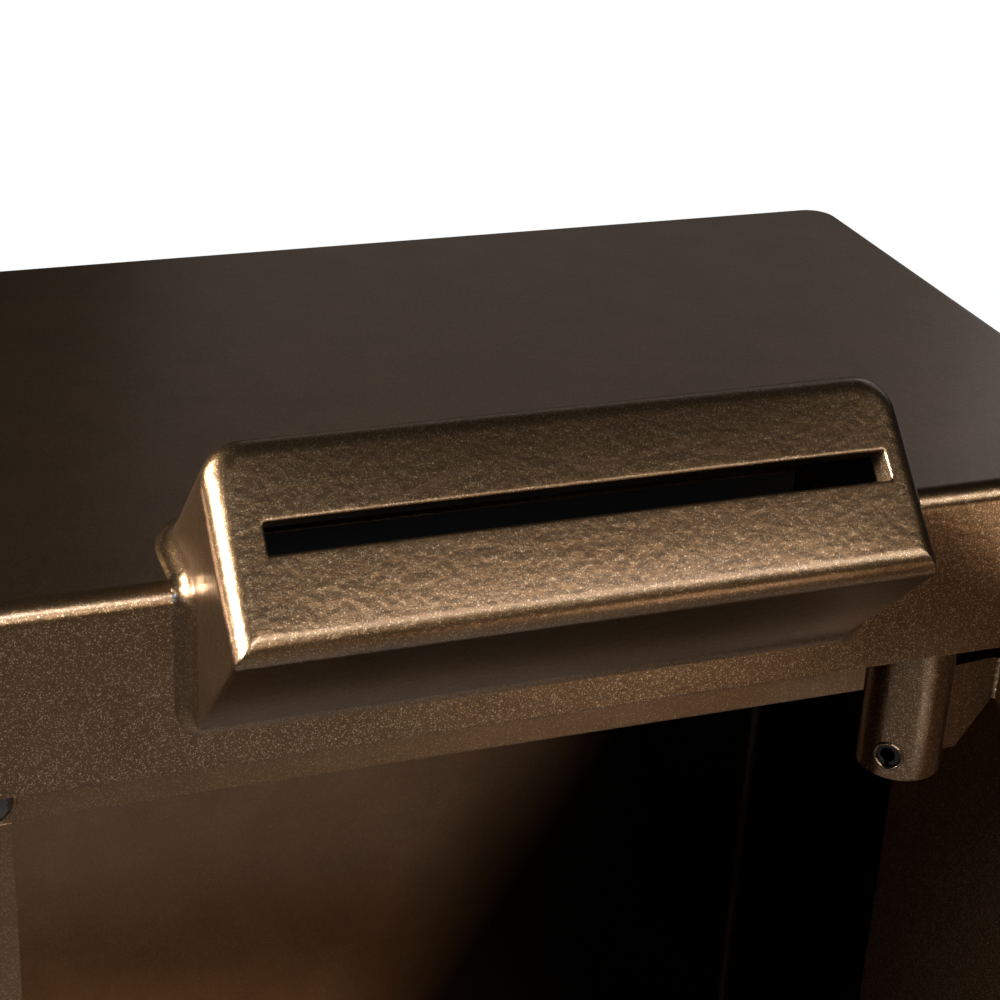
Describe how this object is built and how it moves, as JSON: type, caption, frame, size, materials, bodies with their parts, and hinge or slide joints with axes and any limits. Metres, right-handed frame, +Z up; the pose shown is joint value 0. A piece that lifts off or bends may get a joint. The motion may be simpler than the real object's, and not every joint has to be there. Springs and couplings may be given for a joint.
{
  "type": "donation safe",
  "caption": "Wall-hung steel donation safe in bronze paint with a slanted deposit slot hood on its top front edge, a hinged front door, and a key lock with round bolts.",
  "frame": {"origin": "centre of the underside of the base", "axes": "+Z up, -Y out of the front where the door and the deposit hood are, +X towards the hinge side"},
  "size_m": [0.3341, 0.3829, 0.3813],
  "materials": {
    "bronze_paint": "bronze-brown metallic powder coat with a fine orange-peel grain",
    "buffer_gloss": "dark glossy domes",
    "steel": "bright turned steel, lightly oiled",
    "lock_steel": "zinc plated sheet",
    "nickel": "satin nickel plate",
    "brass": "stamped brass"
  },
  "bodies": {
    "body": {"side_wrap": "bronze_paint", "top_cover": "bronze_paint", "base_pan": "bronze_paint", "deposit_hood": "bronze_paint", "fishing_baffle": "bronze_paint", "stop_lip_top": "bronze_paint", "stop_lip_left": "bronze_paint", "stop_lip_bottom": "bronze_paint", "buffers": "buffer_gloss", "hinge_posts": "bronze_paint", "thrust_washer": "steel"},
    "door": {"door_plate": "bronze_paint", "door_arms": "bronze_paint", "hinge_pins": "steel", "roll_pins": "steel", "lock_case": "lock_steel", "lock_cover": "lock_steel", "lock_screws": "steel", "levers": "brass", "lever_stump": "steel", "bolt_guides": "bronze_paint", "key_escutcheon": "nickel"},
    "boltwork": {"lock_tongue": "steel", "bolt_bar": "steel", "round_bolts": "steel"},
    "key": {"lock_key": "nickel"}
  },
  "joints": [
    {"name": "door_swing", "type": "hinge", "parent": "body", "child": "door", "pos_m": [0.106, -0.0574, 0.1681], "axis": [0, 0, 1], "range_deg": [-95, 0]},
    {"name": "key_turn", "type": "hinge", "parent": "door", "child": "key", "pos_m": [0.14361, -0.15449, 0.171], "axis": [0.9962, 0.0872, 0], "range_deg": [0, 180]},
    {"name": "bolt_slide", "type": "slide", "parent": "door", "child": "boltwork", "axis": [0.0872, -0.9962, 0], "range_m": [0, 0.018]}
  ],
  "couplings": [
    {"joint": "key_turn", "follows": "bolt_slide", "rad_per_m": 174.53}
  ]
}
